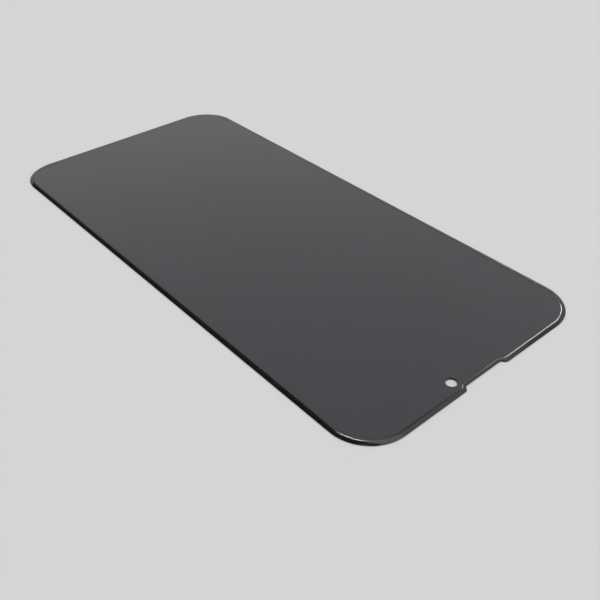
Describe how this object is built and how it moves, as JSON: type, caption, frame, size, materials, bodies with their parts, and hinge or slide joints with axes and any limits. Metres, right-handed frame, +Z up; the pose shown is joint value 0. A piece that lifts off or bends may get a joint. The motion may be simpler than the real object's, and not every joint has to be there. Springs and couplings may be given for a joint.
{
  "type": "phone screen protector",
  "caption": "Thin tempered-glass sheet with rounded corners, a ground bevelled edge, a shallow end notch and a small round sight hole; it sticks over a phone's front to guard the screen.",
  "frame": {"origin": "middle of the underside, the face that sticks to the phone", "axes": "+X across the sheet towards the side with the sight hole, +Y along the sheet towards the notched end, +Z up out of the outer face"},
  "size_m": [0.0684, 0.1428, 0.0004],
  "materials": {
    "smoked_glass": "polished dark smoked glass"
  },
  "bodies": {
    "root": {"glass_sheet": "smoked_glass"}
  },
  "joints": []
}
